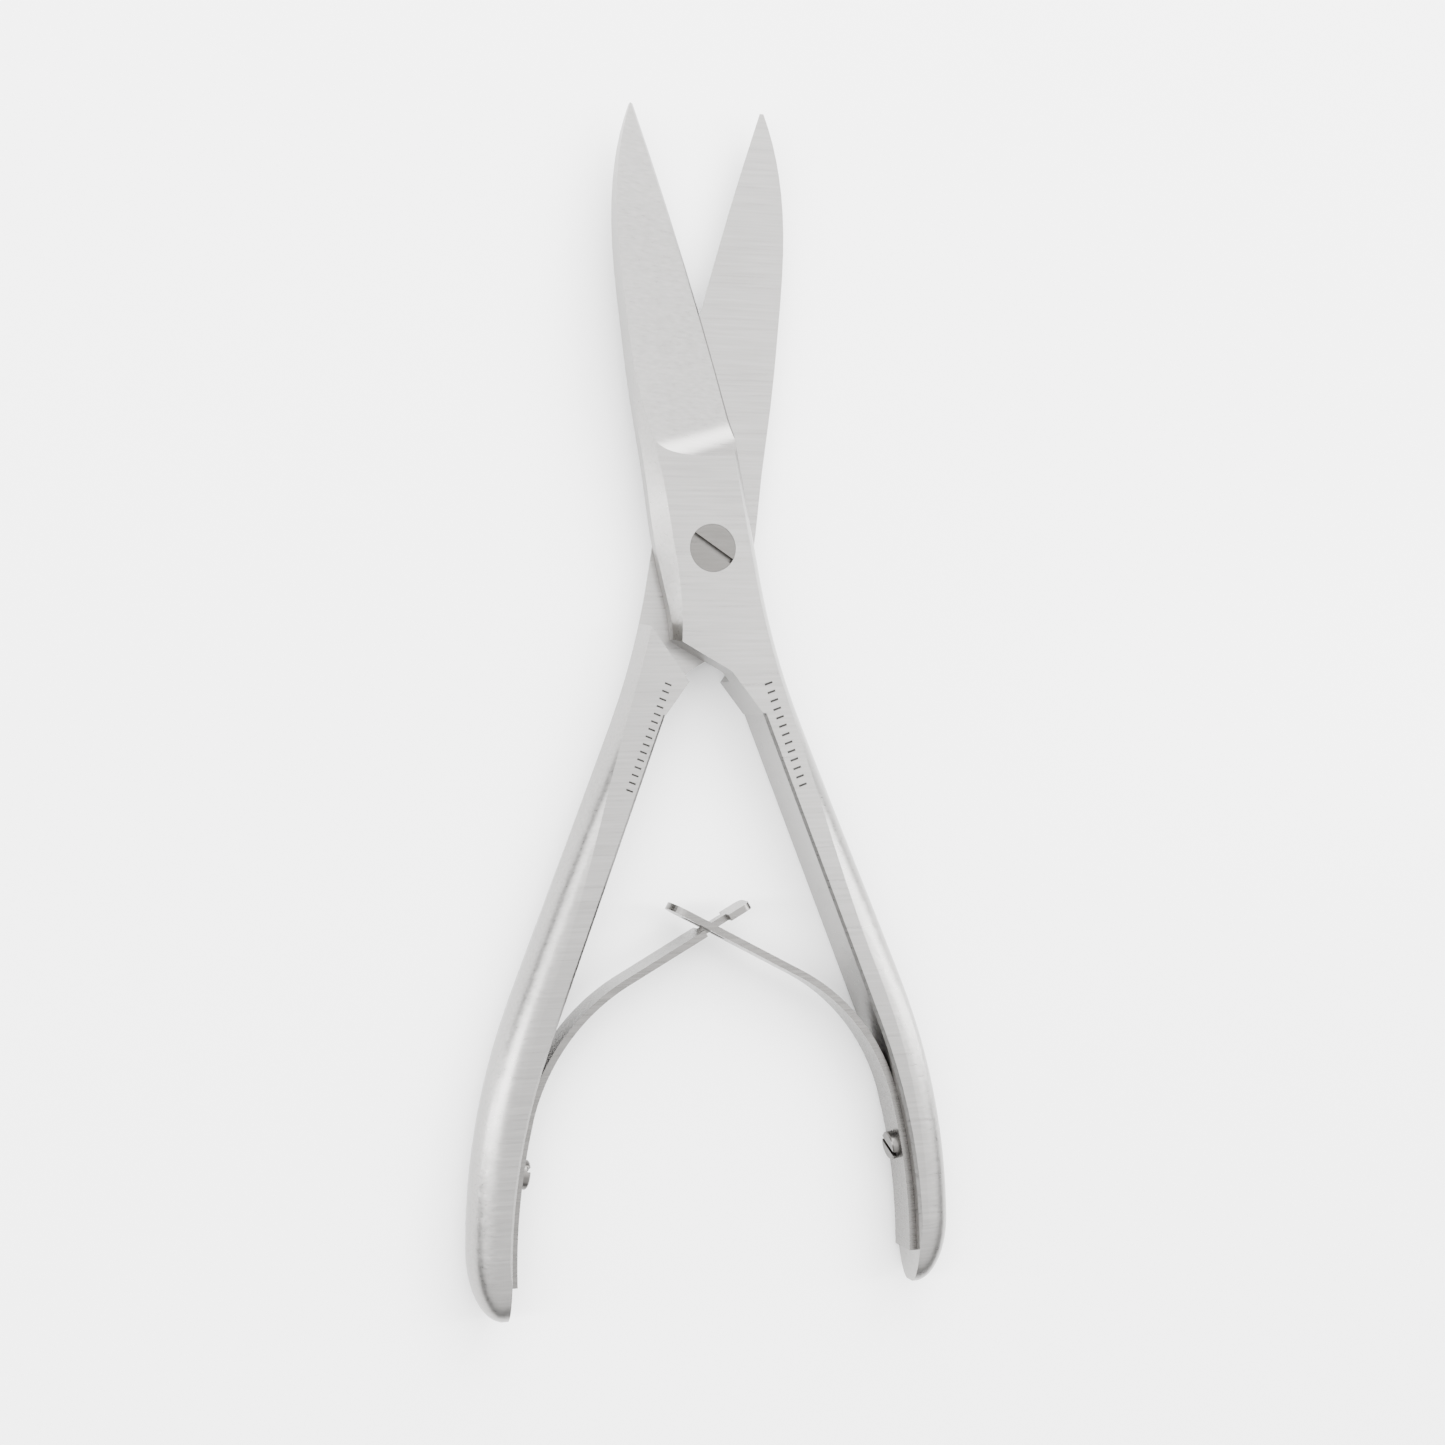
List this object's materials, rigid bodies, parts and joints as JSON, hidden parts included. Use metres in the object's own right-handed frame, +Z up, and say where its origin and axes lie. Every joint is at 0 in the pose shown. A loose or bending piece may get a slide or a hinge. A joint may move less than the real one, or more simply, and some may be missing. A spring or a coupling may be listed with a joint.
{
  "type": "thread snips",
  "caption": "Spring-handled thread snips: two lapped steel levers on a slotted pivot screw, kept open by a pair of leaf springs that cross through each other.",
  "frame": {"origin": "on the ground under the middle of the length, with the snips lying on their back", "axes": "+Y from the handle ends to the blade tips, +X across the handles, +Z up along the pivot axis, from the back to the screw head"},
  "size_m": [0.082, 0.1942, 0.01],
  "materials": {
    "lever_steel": "fine brushed stainless, satin",
    "spring_steel": "satin spring steel",
    "screw_steel": "turned steel, satin"
  },
  "bodies": {
    "rear": {"rear_lever": "lever_steel", "pivot_screw": "screw_steel", "tongue_spring_foot": "spring_steel", "tongue_spring_screw": "screw_steel"},
    "front": {"front_lever": "lever_steel", "slotted_spring_foot": "spring_steel", "slotted_spring_screw": "screw_steel"},
    "slotted_leaf": {"slotted_spring_leaf": "spring_steel"},
    "tongue_leaf": {"tongue_spring_leaf": "spring_steel"}
  },
  "joints": [
    {"name": "lever_pivot", "type": "hinge", "parent": "rear", "child": "front", "pos_m": [0, 0.0251, 0.005], "axis": [0, 0, -1], "range_deg": [-3, 20], "stiffness_Nm_per_rad": 2.5},
    {"name": "slotted_leaf_bend", "type": "hinge", "parent": "front", "child": "slotted_leaf", "pos_m": [0.02738, -0.0564, 0.005], "axis": [0, 0, -1], "range_deg": [-4, 23.5]},
    {"name": "tongue_leaf_bend", "type": "hinge", "parent": "rear", "child": "tongue_leaf", "pos_m": [-0.02738, -0.0564, 0.005], "axis": [0, 0, -1], "range_deg": [-23.5, 4]}
  ],
  "couplings": [
    {"joint": "slotted_leaf_bend", "follows": "lever_pivot", "ratio": 1.12},
    {"joint": "tongue_leaf_bend", "follows": "lever_pivot", "ratio": -1.12}
  ]
}
